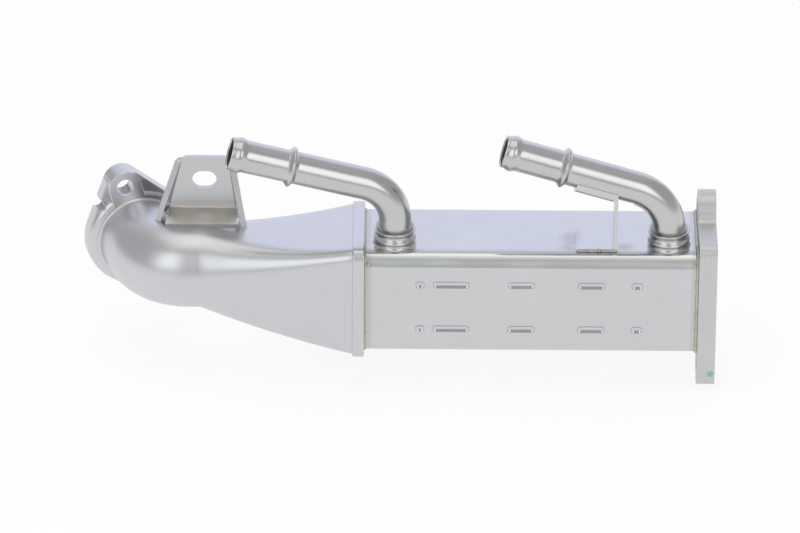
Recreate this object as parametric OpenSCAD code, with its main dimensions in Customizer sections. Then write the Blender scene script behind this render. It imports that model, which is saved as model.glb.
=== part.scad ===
// Exhaust gas cooler: a square sheet casing with a pack of flat gas tubes, a cast diffuser with
// an elbow on its left end, a two-bolt flange on its right end and two coolant pipes on top.
// Millimetres. The origin is on the end flange's mating face, midway between its two bolts. +X runs
// out of that face along the casing, +Y to the back and +Z up.

/* [Casing] */
// Length of the casing between the collar and the end flange
casing_l = 166; // [140:1:260]
// Outside width of the casing, front to back
casing_w = 54.4; // [48:0.2:80]
// Outside height of the casing
casing_h = 54.4; // [48:0.2:80]
// Thickness of the casing's sheet
casing_wall = 1.5; // [1:0.1:2.5]
// Outside radius of the casing's folded corners
casing_r = 5; // [3:0.5:8]

/* [Side dimples] */
// Height of the dimples that are pressed into the casing's sides
dimple_h = 3.8; // [2:0.1:5]
// Depth of a dimple
dimple_depth = 0.9; // [0.5:0.05:1.3]
// Height of the upper row above the casing's axis
dimple_upper = 10.9; // [5:0.1:15]
// Depth of the lower row below the casing's axis
dimple_lower = 13.6; // [5:0.1:16]

/* [Tube pack] */
// Number of flat gas tubes
gas_tube_n = 7; // [4:1:8]
// Wall of a gas tube
gas_tube_wall = 0.6; // [0.4:0.1:0.8]
// Coolant gap between neighbouring gas tubes
gas_tube_gap = 1.6; // [1:0.1:2.4]
// Coolant gap above and below the gas tubes
gas_tube_headroom = 3; // [2:0.5:6]
// How far the gas tubes stand out of the tube plates
gas_tube_reach = 1; // [0.5:0.1:2]
// Thickness of the tube plates
tube_plate_t = 2; // [1:0.5:4]
// Sheet thickness of the corrugated inserts
turbulator_t = 0.3; // [0.2:0.05:0.5]
// Pitch of the corrugation
turbulator_pitch = 6; // [4:0.5:10]
// Distance from the end of a gas tube to its insert
turbulator_inset = 2; // [1:0.5:8]

/* [End flange] */
// Thickness of the end flange
end_flange_t = 9; // [5:0.5:16]
// How far the flange's body stands out past the casing's sides
end_flange_rim = 3; // [2:0.5:8]
// How far the flange's body stands out above and below the casing
end_flange_rise = 6.3; // [4.5:0.1:10]
// Corner radius of the flange's body
end_flange_r = 5; // [3:0.5:12]
// Radius of the round bolt ears
end_ear_r = 11; // [9:0.1:13]
// Radius of the hollow neck beside an ear
end_neck_r = 5; // [2:0.5:8]
// Distance of the upper bolt behind the casing's axis
end_upper_bolt = 11.5; // [0:0.1:13]
// Distance of the upper bolt above the flange's body
end_upper_rise = 0; // [0:0.1:8]
// Distance of the lower bolt below the flange's body
end_lower_rise = 2; // [0:0.1:8]
// Diameter of the two bolt holes
end_hole_d = 9; // [6:0.5:11]

/* [Collar and cone] */
// Thickness of the square collar
collar_t = 6; // [4:0.5:12]
// How far the collar stands out past the casing
collar_rim = 3.2; // [2:0.1:6]
// Corner radius of the collar
collar_r = 6; // [3:0.5:12]
// Depth of the socket that takes the casing's end
collar_socket = 3; // [1:0.5:3]
// Step from the collar down to the cone
cone_step = 1.2; // [0.5:0.1:2]
// Length of the cone from the collar to the round duct
cone_l = 76; // [60:1:120]
// Place of the cone's middle section, as a share of its length
cone_mid = 0.52; // [0.4:0.01:0.6]
// How far the middle section is drawn in
cone_tuck = 1.4; // [0:0.1:2]
// Height of the middle section above the casing's axis
cone_mid_rise = 1.8; // [0:0.1:6]
// Wall of the cone
cone_wall = 3.5; // [2.5:0.1:5]

/* [Elbow] */
// Outside diameter of the round duct
duct_d = 42.4; // [36:0.2:50]
// Wall of the duct
duct_wall = 4; // [2.5:0.1:6]
// Thinning of the wall on either side in the elbow
duct_thinning = 0.1; // [0.05:0.01:0.3]
// Step from the cone up to the duct
duct_step = 0.3; // [0.2:0.1:1]
// Height of the duct's axis above the casing's axis
duct_rise = 7.3; // [0:0.1:12]
// Straight duct from the cone to the elbow
duct_lead = 5.5; // [2:0.5:30]
// Inside radius of the elbow
elbow_inner_r = 0.6; // [0.2:0.1:30]
// Angle that the elbow turns to the back
elbow_turn = 72; // [30:1:90]
// Straight duct from the elbow to the port flange
duct_stub = 15.5; // [6:0.5:30]

/* [Port flange] */
// Diameter of the port flange
port_flange_d = 53.5; // [50:0.5:64]
// Thickness of the port flange
port_flange_t = 9; // [7:0.5:14]
// Rounding of the flange's front rim
port_rim_r = 2.5; // [1:0.1:4]
// Thickness of the webs beside the bolt bosses
port_web_t = 5; // [3:0.5:7]
// Thickness of the bolt bosses
port_boss_t = 10; // [10:0.5:16]
// Radius of a bolt boss at its front
port_boss_r = 8.5; // [8:0.1:12]
// Widening of a boss towards the mating face
port_boss_draft = 0.8; // [0:0.1:2]
// Distance between the two bolt holes
port_bolt_pcd = 60.4; // [58:0.1:76]
// Turn of the bolt line from upright
port_bolt_turn = 15; // [0:0.1:40]
// Diameter of the two bolt holes
port_hole_d = 9; // [6:0.5:11]
// Radius of the notch beside the upper boss
port_notch_r = 3; // [1:0.1:4]
// Angle from the upper bolt to the notch
port_notch_turn = 31; // [30:1:60]

/* [Coolant pipes] */
// Outside diameter of the coolant pipes
pipe_d = 16.2; // [12:0.1:18]
// Wall of the pipes
pipe_wall = 1; // [0.8:0.1:2]
// Thinning of the wall on either side in the bend
pipe_thinning = 0.05; // [0.03:0.01:0.15]
// Distance of the left pipe from the collar
pipe_left_inset = 15; // [12:0.1:40]
// Distance of the right pipe from the end flange
pipe_right_inset = 15; // [13:0.1:40]
// Distance of the pipes in front of the casing's axis
pipe_forward = 12.5; // [0:0.5:13]
// Centre-line radius of the bend
pipe_bend_r = 27.2; // [18:0.1:34]
// Slope of the run above level
pipe_slope = 16.6; // [5:0.1:40]
// Straight run of the left pipe from its bend to its mouth
pipe_left_run = 64.2; // [50:0.1:120]
// Straight run of the right pipe from its bend to its mouth
pipe_right_run = 65.9; // [56:0.1:120]
// Swing of the left pipe towards the front
pipe_left_swing = 4; // [-10:0.5:20]
// How far the left pipe is drawn up out of its ferrule
pipe_left_lift = 1.2; // [0:0.1:1.5]
// Distance of the stop bead from the mouth
stop_bead_at = 31.5; // [20:0.1:40]
// Height of the stop bead above the pipe
stop_bead_rise = 2.05; // [1:0.05:2.2]
// Width of the stop bead
stop_bead_w = 4.5; // [3:0.1:6]
// Distance of the hose bead's middle from the mouth
hose_bead_at = 4.8; // [3:0.1:10]
// Height of the hose bead above the pipe
hose_bead_rise = 0.9; // [0.4:0.1:1.4]
// Width of the hose bead
hose_bead_w = 5; // [3:0.1:6]

/* [Ferrules] */
// Wall of a ferrule's sleeve
ferrule_wall = 1.2; // [0.8:0.1:2]
// Height of a ferrule
ferrule_h = 9; // [7:0.5:12]
// How far the flared lip stands out from the pipe
ferrule_lip = 2.2; // [2:0.1:3.5]
// Height of the flared lip
ferrule_lip_h = 2.8; // [2:0.1:4]
// Height of the bead's middle above the casing
ferrule_bead_at = 3.4; // [2:0.1:4]
// Radius of the bead's round
ferrule_bead_r = 1.1; // [0.8:0.1:1.8]

/* [Pipe support] */
// Sheet thickness of the support strip
support_t = 1.8; // [1:0.1:3]
// Length of the strip's foot along the casing
support_foot_l = 20.5; // [10:0.5:30]
// Width of the foot
support_foot_w = 22.4; // [16:0.1:26]
// Distance of the foot's middle behind the pipe
support_foot_shift = 2; // [0:0.1:3]
// Width of the strip under the pipe
support_top_w = 15; // [10:0.5:18]
// Distance of the upright from the pipe's base
support_offset = 25.6; // [24.8:0.1:32]
// Distance from the saddle's end to the stop bead
support_bead_gap = 5.6; // [1:0.1:15]

/* [Mounting bracket] */
// Sheet thickness of the bracket
bracket_t = 3; // [1.5:0.1:4]
// Height of the upright plate above its bend
bracket_h = 27; // [24:0.1:50]
// Width of the plate at its top
bracket_top_w = 29.5; // [24:0.5:40]
// Width of the plate at its bend
bracket_base_w = 37; // [30:0.5:44]
// Radius of the plate's top corners
bracket_r = 5; // [3:0.5:8]
// Depth of the shelf from the plate to the duct's crown
bracket_shelf = 15; // [10:0.5:20]
// Height of the bend above the duct's crown
bracket_lift = 5.5; // [2:0.1:8]
// Depth of the wings at their foot
bracket_wing = 11; // [8:0.5:20]
// Splay of the wings
bracket_splay = 18; // [0:1:30]
// Distance of the bracket's middle from the collar
bracket_at = 74.2; // [66:0.1:84]
// Length of the slot
bracket_slot_l = 12.2; // [10:0.1:16]
// Width of the slot
bracket_slot_w = 9.5; // [6:0.1:12]
// Height of the slot's middle above the bend
bracket_slot_at = 14.7; // [10:0.1:18]

/* [Fits] */
// Brazing gap between pieces that fit into each other
braze_gap = 0.1; // [0.05:0.01:0.2]

/* [Hidden] */
$fn = 64;
// Places of the dimples along the casing as shares of its length, with their lengths
dimples = [[0.167, 5], [0.26, 18.5], [0.47, 13.8], [0.68, 14], [0.8165, 6]];
// Segments of the faceted cone sections and how thin their slabs are
cone_fn = 32;
slab = 0.2;
// Overlap of cutting shapes past the faces that they cut
cut = 1;
// Overlap of the pipe's straight lengths with its bend
pipe_lap = 0.5;

// Places along X
flange_back = -end_flange_t;
collar_face = flange_back - casing_l;
casing_end = collar_face - collar_socket;
cone_start = collar_face - collar_t;
cone_end = cone_start - cone_l;
elbow_start = cone_end - duct_lead;

// Inside of the casing
inner_w = casing_w - 2 * casing_wall;
inner_h = casing_h - 2 * casing_wall;
inner_r = casing_r - casing_wall;
casing_top = casing_h / 2;

// Gas tubes: they fill the inner width between the dimples
pack_w = inner_w - 2 * (dimple_depth + braze_gap);
gas_tube_t = (pack_w - (gas_tube_n - 1) * gas_tube_gap) / gas_tube_n;
gas_tube_h = inner_h - 2 * gas_tube_headroom;
gas_tube_pitch = gas_tube_t + gas_tube_gap;
gas_tube_x0 = casing_end - gas_tube_reach;
gas_tube_x1 = flange_back + gas_tube_reach;
gas_tube_span = gas_tube_h - gas_tube_t;
turbulator_w = gas_tube_t - 2 * (gas_tube_wall + braze_gap);
turbulator_cells = floor((gas_tube_span - turbulator_t) / (turbulator_pitch / 2));

// A dimple is a round-ended trough with its axis outside the casing
dimple_r = (dimple_h * dimple_h / 4 + dimple_depth * dimple_depth) / (2 * dimple_depth);

// End flange: half sizes of its body, the bolts about the casing's axis and the middle between them
end_half_w = casing_w / 2 + end_flange_rim;
end_half_h = casing_h / 2 + end_flange_rise;
end_bolts = [
    [end_upper_bolt, end_half_h + end_upper_rise],
    [end_ear_r - end_half_w, -end_half_h - end_lower_rise]
];
bolt_middle = (end_bolts[0] + end_bolts[1]) / 2;

// Cone sections: width, height and corner radius
cone_in = collar_rim - cone_step;
cone_first = [casing_w + 2 * cone_in, casing_h + 2 * cone_in, collar_r - cone_step / 2];
cone_last = (duct_d - 2 * duct_step) * [1, 1, 0.5];
cone_middle = cone_first + (cone_last - cone_first) * cone_mid - cone_tuck * [2, 2, 1];
bore_r = duct_d / 2 - duct_wall;

// Elbow and port flange
elbow_r = duct_d / 2 + elbow_inner_r;
duct_out = [-cos(elbow_turn), sin(elbow_turn), 0];
elbow_end = [elbow_start - elbow_r * sin(elbow_turn), elbow_r * (1 - cos(elbow_turn)), duct_rise];
port_centre = elbow_end + (duct_stub + port_flange_t) * duct_out;
port_bolt_r = port_bolt_pcd / 2;
port_ear_r = port_boss_r + port_boss_draft;
port_web_turn = acos((port_flange_d / 2 - port_ear_r) / port_bolt_r);

// Coolant pipes: the bend starts where the ferrule's lip flares away from the pipe
pipe_r = pipe_d / 2;
pipe_riser = ferrule_h - ferrule_lip_h;
pipe_left_x = collar_face + pipe_left_inset;
pipe_right_x = flange_back - pipe_right_inset;
pipe_bend = 90 - pipe_slope;
pipe_bend_end = [-pipe_bend_r * (1 - cos(pipe_bend)), 0, pipe_riser + pipe_bend_r * sin(pipe_bend)];
stop_bead_r = stop_bead_w / 2;
hose_bead_r = (hose_bead_w * hose_bead_w / 4 + hose_bead_rise * hose_bead_rise) / (2 * hose_bead_rise);
ferrule_r = pipe_r + braze_gap + ferrule_wall;

// Support strip: the height of the pipe's underside at the upright
support_run = (support_offset + pipe_bend_end[0]) / cos(pipe_slope);
support_axis_z = pipe_bend_end[2] + support_run * sin(pipe_slope);
saddle_r = pipe_r + braze_gap;
support_top_z = support_axis_z - saddle_r / cos(pipe_slope);
saddle_end = pipe_right_run - stop_bead_at - stop_bead_r - support_bead_gap;
saddle_l = saddle_end - support_run;

// Mounting bracket on the duct's crown
duct_crown = duct_rise + duct_d / 2;
bracket_x = cone_start - bracket_at;
bracket_bend_z = duct_crown + bracket_lift;
bracket_lean = atan2((bracket_base_w - bracket_top_w) / 2, bracket_h);
bracket_edge_l = bracket_h / cos(bracket_lean) - bracket_r / tan(45 + bracket_lean / 2);
bracket_corner = [
    bracket_base_w / 2 - (bracket_h - bracket_r) * tan(bracket_lean) - bracket_r / cos(bracket_lean),
    bracket_h - bracket_r
];
shelf_w = bracket_base_w - bracket_t;
shelf_slope = atan2(bracket_lift - bracket_t / 2, bracket_shelf);

// Rectangle with round corners, about its centre
module rounded(w, h, r) {
    square([w - 2 * r, h], center = true);
    square([w, h - 2 * r], center = true);
    for (x = [-1, 1], y = [-1, 1])
        translate([x * (w / 2 - r), y * (h / 2 - r)]) circle(r);
}

// Round-ended bar about its centre, standing on its long axis
module obround(w, h) {
    square([w, h - w], center = true);
    for (s = [-1, 1])
        translate([0, s * (h - w) / 2]) circle(d = w);
}

// Extrudes a section drawn in Y and Z along X, from x0 to x1
module along_x(x0, x1) {
    translate([x0, 0, 0]) rotate([90, 0, 90]) linear_extrude(x1 - x0) children();
}

// Round-ended trough of radius r along X, with its axis at height z outside the front face
module dimple(at, l, z, r) {
    flank = sqrt(dimple_r * dimple_r - pow(dimple_r - dimple_depth, 2));
    straight = max(l - 2 * flank, slab);
    translate([collar_face + at * casing_l, -casing_w / 2 - dimple_r + dimple_depth, z]) {
        rotate([0, 90, 0]) cylinder(r = r, h = straight, center = true);
        for (s = [-1, 1])
            translate([s * straight / 2, 0, 0]) sphere(r);
    }
}

// All dimples of both sides, at radius r
module dimple_rows(r) {
    for (side = [0, 1], z = [dimple_upper, -dimple_lower], d = dimples)
        mirror([0, side, 0]) dimple(d[0], d[1], z, r);
}

module casing() {
    color("#c6cacf") difference() {
        union() {
            difference() {
                along_x(casing_end, flange_back) rounded(casing_w, casing_h, casing_r);
                along_x(casing_end - cut, flange_back + cut) rounded(inner_w, inner_h, inner_r);
            }
            intersection() {
                dimple_rows(dimple_r + casing_wall);
                along_x(casing_end, flange_back) rounded(casing_w, casing_h, casing_r);
            }
        }
        dimple_rows(dimple_r);
        for (x = [pipe_left_x, pipe_right_x])
            translate([x, -pipe_forward, 0])
                cylinder(r = ferrule_r + braze_gap, h = casing_top + cut);
    }
}

// Section of a gas tube at place i of the pack
module at_tube(i) {
    translate([(i - (gas_tube_n + 1) / 2) * gas_tube_pitch, 0]) children();
}

module tube_plate(x0) {
    color("#b9bcc0") along_x(x0, x0 + tube_plate_t) difference() {
        rounded(inner_w - 2 * braze_gap, inner_h - 2 * braze_gap, inner_r - braze_gap);
        for (i = [1:gas_tube_n])
            at_tube(i) obround(gas_tube_t + 2 * braze_gap, gas_tube_h + 2 * braze_gap);
    }
}

module gas_tube(i) {
    color("#a9adb2") along_x(gas_tube_x0, gas_tube_x1) at_tube(i) difference() {
        obround(gas_tube_t, gas_tube_h);
        obround(gas_tube_t - 2 * gas_tube_wall, gas_tube_h - 2 * gas_tube_wall);
    }
}

// Corrugated insert: crests against both walls of the tube, joined by webs
module turbulator(i) {
    cell = turbulator_pitch / 2;
    z0 = -turbulator_cells * cell / 2;
    crest_y = (turbulator_w - turbulator_t) / 2;
    color("#8f9398") along_x(gas_tube_x0 + turbulator_inset, gas_tube_x1 - turbulator_inset) at_tube(i) {
        for (k = [0:turbulator_cells])
            translate([0, z0 + k * cell]) square([turbulator_w, turbulator_t], center = true);
        for (k = [0:turbulator_cells - 1])
            translate([(k % 2 == 0 ? 1 : -1) * crest_y, z0 + (k + 0.5) * cell])
                square([turbulator_t, cell], center = true);
    }
}

// Round ear about a bolt above the flange's body, with a hollow neck on the sides given
module end_ear(bolt, sides) {
    reach = end_half_h + end_neck_r;
    run = sqrt(pow(end_ear_r + end_neck_r, 2) - pow(reach - bolt[1], 2));
    translate(bolt) circle(end_ear_r);
    for (side = sides)
        translate([bolt[0], 0]) mirror([side, 0]) difference() {
            polygon([[run, end_half_h - cut], [run, reach], [0, bolt[1]], [0, end_half_h - cut]]);
            translate([run, reach]) circle(end_neck_r);
        }
}

// Outline of the end flange: a body with an ear on top and one flush with its front at the bottom
module end_flange_outline() {
    rounded(2 * end_half_w, 2 * end_half_h, end_flange_r);
    end_ear(end_bolts[0], [0, 1]);
    rotate(180) {
        end_ear(-end_bolts[1], [1]);
        translate([-end_bolts[1][0], 0]) square([end_ear_r, -end_bolts[1][1]]);
    }
}

module end_flange() {
    color("#c4c6c8") along_x(flange_back, 0) difference() {
        end_flange_outline();
        rounded(inner_w, inner_h, inner_r);
        for (bolt = end_bolts)
            translate(bolt) circle(d = end_hole_d);
    }
}

// Thin slab of a cone section at x, drawn in by a wall
module cone_slab(x, section, z, wall) {
    translate([0, 0, z]) along_x(x, x + slab)
        rounded(section[0] - 2 * wall, section[1] - 2 * wall, max(section[2] - wall, 1), $fn = cone_fn);
}

// The cone in two lofts, from the collar to the duct
module cone(wall, start) {
    middle_x = cone_start - cone_mid * cone_l;
    hull() {
        cone_slab(cone_start - slab, cone_first, 0, start);
        cone_slab(middle_x, cone_middle, cone_mid_rise, wall);
    }
    hull() {
        cone_slab(middle_x, cone_middle, cone_mid_rise, wall);
        cone_slab(cone_end - slab, cone_last, duct_rise, wall == 0 ? 0 : duct_wall);
    }
}

// The round duct of radius r: its lead, its elbow of another radius and its stub, lengthened by extra
module duct(r, bend_r, extra) {
    translate([cone_end, 0, duct_rise]) rotate([0, -90, 0]) cylinder(r = r, h = duct_lead + slab);
    translate([elbow_start, elbow_r, duct_rise]) rotate([0, 0, -90 - elbow_turn])
        rotate_extrude(angle = elbow_turn) translate([elbow_r, 0]) circle(bend_r);
    translate(elbow_end) rotate([90, 0, 270 - elbow_turn]) translate([0, 0, -slab])
        cylinder(r = r, h = duct_stub + slab + extra);
}

// Places a child that is drawn on the port flange's mating face, with Z out of the port
module on_port() {
    translate(port_centre) rotate([90, 0, 270 - elbow_turn]) children();
}

// Web between the flange's rim and a bolt ear, bounded by the two common tangents
module port_web() {
    for (turn = [0, 180]) rotate(turn - port_bolt_turn) {
        rim = port_flange_d / 2;
        side = [sin(port_web_turn), cos(port_web_turn)];
        ear = [0, port_bolt_r];
        polygon([
            [rim * side[0], rim * side[1]],
            ear + port_ear_r * side,
            ear + port_ear_r * [-side[0], side[1]],
            [-rim * side[0], rim * side[1]]
        ]);
    }
}

module port_flange() {
    rim = port_flange_d / 2;
    on_port() difference() {
        union() {
            rotate_extrude() {
                translate([0, -port_flange_t]) square([rim - port_rim_r, port_flange_t]);
                translate([0, port_rim_r - port_flange_t]) square([rim, port_flange_t - port_rim_r]);
                translate([rim - port_rim_r, port_rim_r - port_flange_t]) circle(port_rim_r);
            }
            translate([0, 0, -port_web_t]) linear_extrude(port_web_t) port_web();
            for (turn = [0, 180]) rotate(turn - port_bolt_turn) {
                translate([0, port_bolt_r, -port_boss_t])
                    cylinder(r1 = port_boss_r, r2 = port_ear_r, h = port_boss_t);
                translate([-port_boss_r, 0, -port_boss_t])
                    cube([2 * port_boss_r, port_bolt_r, port_boss_t]);
            }
        }
        for (turn = [0, 180])
            rotate(turn - port_bolt_turn) translate([0, port_bolt_r, -port_boss_t - cut])
                cylinder(d = port_hole_d, h = port_boss_t + 2 * cut);
        rotate(-port_bolt_turn - port_notch_turn) translate([0, rim + port_notch_r / 2, -port_boss_t - cut])
            cylinder(r = port_notch_r, h = port_boss_t + 2 * cut);
    }
}

module diffuser_elbow() {
    color("#c3c6cb") difference() {
        union() {
            along_x(cone_start, collar_face)
                rounded(casing_w + 2 * collar_rim, casing_h + 2 * collar_rim, collar_r);
            cone(0, 0);
            duct(duct_d / 2, duct_d / 2 - duct_thinning, port_flange_t / 2);
            port_flange();
        }
        along_x(casing_end, collar_face + cut)
            rounded(casing_w + 2 * braze_gap, casing_h + 2 * braze_gap, casing_r + braze_gap);
        along_x(cone_start - slab, casing_end + slab) rounded(inner_w, inner_h, inner_r);
        cone(cone_wall, cone_in + casing_wall);
        duct(bore_r, bore_r + duct_thinning, port_flange_t + cut);
    }
}

// Solid of radius r along the pipe's path, from the casing's top to the mouth
module pipe_path(r, run) {
    cylinder(r = r, h = pipe_riser);
    pipe_elbow() circle(r);
    on_run(0) cylinder(r = r, h = run);
}

// Sweeps a section round the pipe's bend
module pipe_elbow() {
    translate([-pipe_bend_r, 0, pipe_riser]) rotate([90, 0, 0])
        rotate_extrude(angle = pipe_bend) translate([pipe_bend_r, 0]) children();
}

// Places a child on the pipe's straight run, at a distance from the bend
module on_run(at) {
    translate(pipe_bend_end) rotate([0, -pipe_bend, 0]) translate([0, 0, at]) children();
}

// Half section of the straight run: the wall, the stop bead and the long hose bead at the mouth
module run_profile(run) {
    bore = pipe_r - pipe_wall;
    intersection() {
        translate([bore, -pipe_lap]) square([pipe_d, run + pipe_lap]);
        union() {
            translate([0, -pipe_lap]) square([pipe_r, run + pipe_lap]);
            translate([pipe_r + stop_bead_rise - stop_bead_r, run - stop_bead_at]) circle(stop_bead_r);
            translate([pipe_r + hose_bead_rise - hose_bead_r, run - hose_bead_at]) circle(hose_bead_r);
        }
    }
}

module coolant_pipe(run) {
    color("#d2d4d6") {
        translate([0, 0, -casing_wall]) linear_extrude(pipe_riser + casing_wall + pipe_lap) pipe_ring(0);
        pipe_elbow() pipe_ring(pipe_thinning);
        on_run(0) rotate_extrude() run_profile(run);
    }
}

// Section of the pipe's wall, thinned on either side
module pipe_ring(thinning) {
    difference() {
        circle(pipe_r - thinning);
        circle(pipe_r - pipe_wall + thinning);
    }
}

// Flared ferrule: a sleeve through the casing's top, a round bead and a funnel lip
module pipe_ferrule() {
    bore = pipe_r + braze_gap;
    lip_z = ferrule_h - ferrule_lip_h;
    color("#c9cbcd") rotate_extrude() difference() {
        union() {
            translate([bore, -casing_wall]) square([ferrule_wall, ferrule_h + casing_wall]);
            translate([bore, 0]) square([ferrule_wall + ferrule_bead_r / 2, ferrule_bead_at]);
            translate([ferrule_r, ferrule_bead_at]) circle(ferrule_bead_r);
            polygon([
                [bore, lip_z],
                [ferrule_r, lip_z],
                [pipe_r + ferrule_lip, ferrule_h - ferrule_wall / 2],
                [pipe_r + ferrule_lip, ferrule_h],
                [bore, ferrule_h]
            ]);
        }
        polygon([
            [bore, lip_z],
            [pipe_r + ferrule_lip - ferrule_wall / 2, ferrule_h + slab],
            [bore, ferrule_h + slab]
        ]);
        translate([0, -casing_wall - cut]) square([bore, ferrule_h + casing_wall + 2 * cut]);
    }
}

// Places a child on the casing's top at a pipe's base
module at_pipe(x, swing) {
    translate([x, -pipe_forward, casing_top]) rotate([0, 0, swing]) children();
}

// Bent strip: a foot on the casing, an upright and a saddle under the right pipe
module pipe_support() {
    upright_x = -support_offset;
    color("#bfc2c6") at_pipe(pipe_right_x, 0) {
        translate([upright_x - support_foot_l, support_foot_shift - support_foot_w / 2, 0])
            cube([support_foot_l, support_foot_w, support_t]);
        difference() {
            translate([upright_x, 0, 0]) rotate([90, 0, -90]) linear_extrude(support_t)
                polygon([
                    [-support_foot_shift - support_foot_w / 2, 0],
                    [support_foot_w / 2 - support_foot_shift, 0],
                    [support_top_w / 2, support_top_z + saddle_r],
                    [-support_top_w / 2, support_top_z + saddle_r]
                ]);
            pipe_path(saddle_r, pipe_right_run);
        }
        intersection() {
            on_run(support_run) difference() {
                cylinder(r = saddle_r + support_t, h = saddle_l);
                translate([0, 0, -cut]) cylinder(r = saddle_r, h = saddle_l + 2 * cut);
            }
            on_run(support_run) translate([-2 * saddle_r, -support_top_w / 2, 0])
                cube([2 * saddle_r, support_top_w, saddle_l]);
        }
    }
}

// Wing of the bracket, folded forward from the plate's right edge
module bracket_wing() {
    foot = bracket_bend_z - duct_rise;
    translate([bracket_base_w / 2, 0, 0]) rotate([0, 0, 90 + bracket_lean]) rotate([bracket_splay - 90, 0, 0])
        linear_extrude(bracket_t)
            polygon([
                [-foot, 0],
                [-foot, -bracket_wing],
                [0, -bracket_wing],
                [bracket_edge_l - bracket_t / 2, 0]
            ]);
}

// Upright plate with round top corners, drawn in its own plane
module bracket_plate() {
    side = bracket_corner + bracket_r * [cos(bracket_lean), sin(bracket_lean)];
    difference() {
        union() {
            polygon([
                [-bracket_base_w / 2, 0],
                [-shelf_w / 2, -bracket_t],
                [shelf_w / 2, -bracket_t],
                [bracket_base_w / 2, 0],
                side,
                [bracket_corner[0], bracket_h],
                [-bracket_corner[0], bracket_h],
                [-side[0], side[1]]
            ]);
            for (s = [-1, 1])
                translate([s * bracket_corner[0], bracket_corner[1]]) circle(bracket_r);
        }
        translate([0, bracket_slot_at]) rotate(90) obround(bracket_slot_w, bracket_slot_l);
    }
}

module mounting_bracket() {
    color("#bfc1c4") difference() {
        translate([bracket_x, bracket_shelf, bracket_bend_z]) {
            rotate([90, 0, 0]) {
                linear_extrude(bracket_t) bracket_plate();
                bracket_wing();
                mirror([1, 0, 0]) bracket_wing();
            }
            rotate([shelf_slope, 0, 0]) translate([-shelf_w / 2, -bracket_shelf, -bracket_t])
                cube([shelf_w, bracket_shelf, bracket_t]);
        }
        cone(0, 0);
        duct(duct_d / 2 + braze_gap, duct_d / 2 + braze_gap - duct_thinning, 0);
    }
}

// Moves a piece from the casing's axis to the middle between the end flange's bolts
module place() {
    translate([0, -bolt_middle[0], -bolt_middle[1]]) children();
}

module left_pipe() {
    at_pipe(pipe_left_x, pipe_left_swing) translate([0, 0, pipe_left_lift]) coolant_pipe(pipe_left_run);
}

module right_pipe() {
    at_pipe(pipe_right_x, 0) coolant_pipe(pipe_right_run);
}

place() casing();
place() diffuser_elbow();
place() end_flange();
place() tube_plate(casing_end);  // tube_plate_left
place() tube_plate(flange_back - tube_plate_t);  // tube_plate_right
place() left_pipe();  // coolant_pipe_left
place() right_pipe();  // coolant_pipe_right
place() at_pipe(pipe_left_x, 0) pipe_ferrule();  // pipe_ferrule_left
place() at_pipe(pipe_right_x, 0) pipe_ferrule();  // pipe_ferrule_right
place() pipe_support();
place() mounting_bracket();
for (i = [1:gas_tube_n]) {
    place() gas_tube(i);
    place() turbulator(i);
}
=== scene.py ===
# %% [markdown]
# # An exhaust gas cooler
# The solids of the cooler come in as a fixed frame, in metres. This lesson dresses them: pieces whose
# edges or curves need more care are made again over the frame, and every piece gets a metal finish.

# %% Load the frame
import math
from collections import namedtuple
import bpy
from mathutils import Matrix, Vector


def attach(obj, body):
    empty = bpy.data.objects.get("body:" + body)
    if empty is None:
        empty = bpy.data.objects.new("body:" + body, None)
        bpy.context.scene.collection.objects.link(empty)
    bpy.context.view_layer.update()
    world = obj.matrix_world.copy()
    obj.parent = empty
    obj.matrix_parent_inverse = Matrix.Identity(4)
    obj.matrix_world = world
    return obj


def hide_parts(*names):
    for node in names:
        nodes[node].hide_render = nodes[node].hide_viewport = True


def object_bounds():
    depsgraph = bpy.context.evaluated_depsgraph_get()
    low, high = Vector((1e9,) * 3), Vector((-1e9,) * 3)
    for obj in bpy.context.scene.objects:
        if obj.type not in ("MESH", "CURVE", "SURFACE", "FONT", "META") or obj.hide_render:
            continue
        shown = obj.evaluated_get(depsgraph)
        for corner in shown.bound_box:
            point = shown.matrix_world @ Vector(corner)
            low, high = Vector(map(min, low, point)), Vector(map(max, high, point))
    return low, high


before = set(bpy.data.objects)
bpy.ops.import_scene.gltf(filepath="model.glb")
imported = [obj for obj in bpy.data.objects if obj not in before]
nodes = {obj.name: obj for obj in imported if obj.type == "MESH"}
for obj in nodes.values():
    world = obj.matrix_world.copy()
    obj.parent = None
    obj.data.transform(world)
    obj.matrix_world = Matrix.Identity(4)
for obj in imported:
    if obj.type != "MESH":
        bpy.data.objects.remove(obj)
cad_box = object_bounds()
scene = bpy.context.scene
bpy.ops.object.select_all(action="DESELECT")
print("nodes:", len(nodes), "box:", [tuple(round(v, 4) for v in corner) for corner in cad_box])

# %% [markdown]
# ## Camera
# The photograph looks down on the cooler's front from far away with a long lens, so depth hardly shrinks
# anything. The camera aims a little above the casing's axis and is rolled by a fraction of a degree.

# %% Place the camera
MM = 0.001
# The casing's axis in the frame and the middle of the part along it, in millimetres
AXIS_Y, AXIS_Z = 3.85, 1.0
MIDDLE_X = -157.3
ELEVATION = math.radians(27.5)
ROLL = math.radians(0.43)
# Distance in metres; lens, sensor and the height of the aim above the axis in millimetres
DISTANCE = 4.0
LENS, SENSOR = 360.0, 36.0
AIM_ABOVE = 6.2


def at(x, y, z):
    """A point given in millimetres about the casing's axis, in the frame's metres."""
    return Vector((x, y + AXIS_Y, z + AXIS_Z)) * MM


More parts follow.
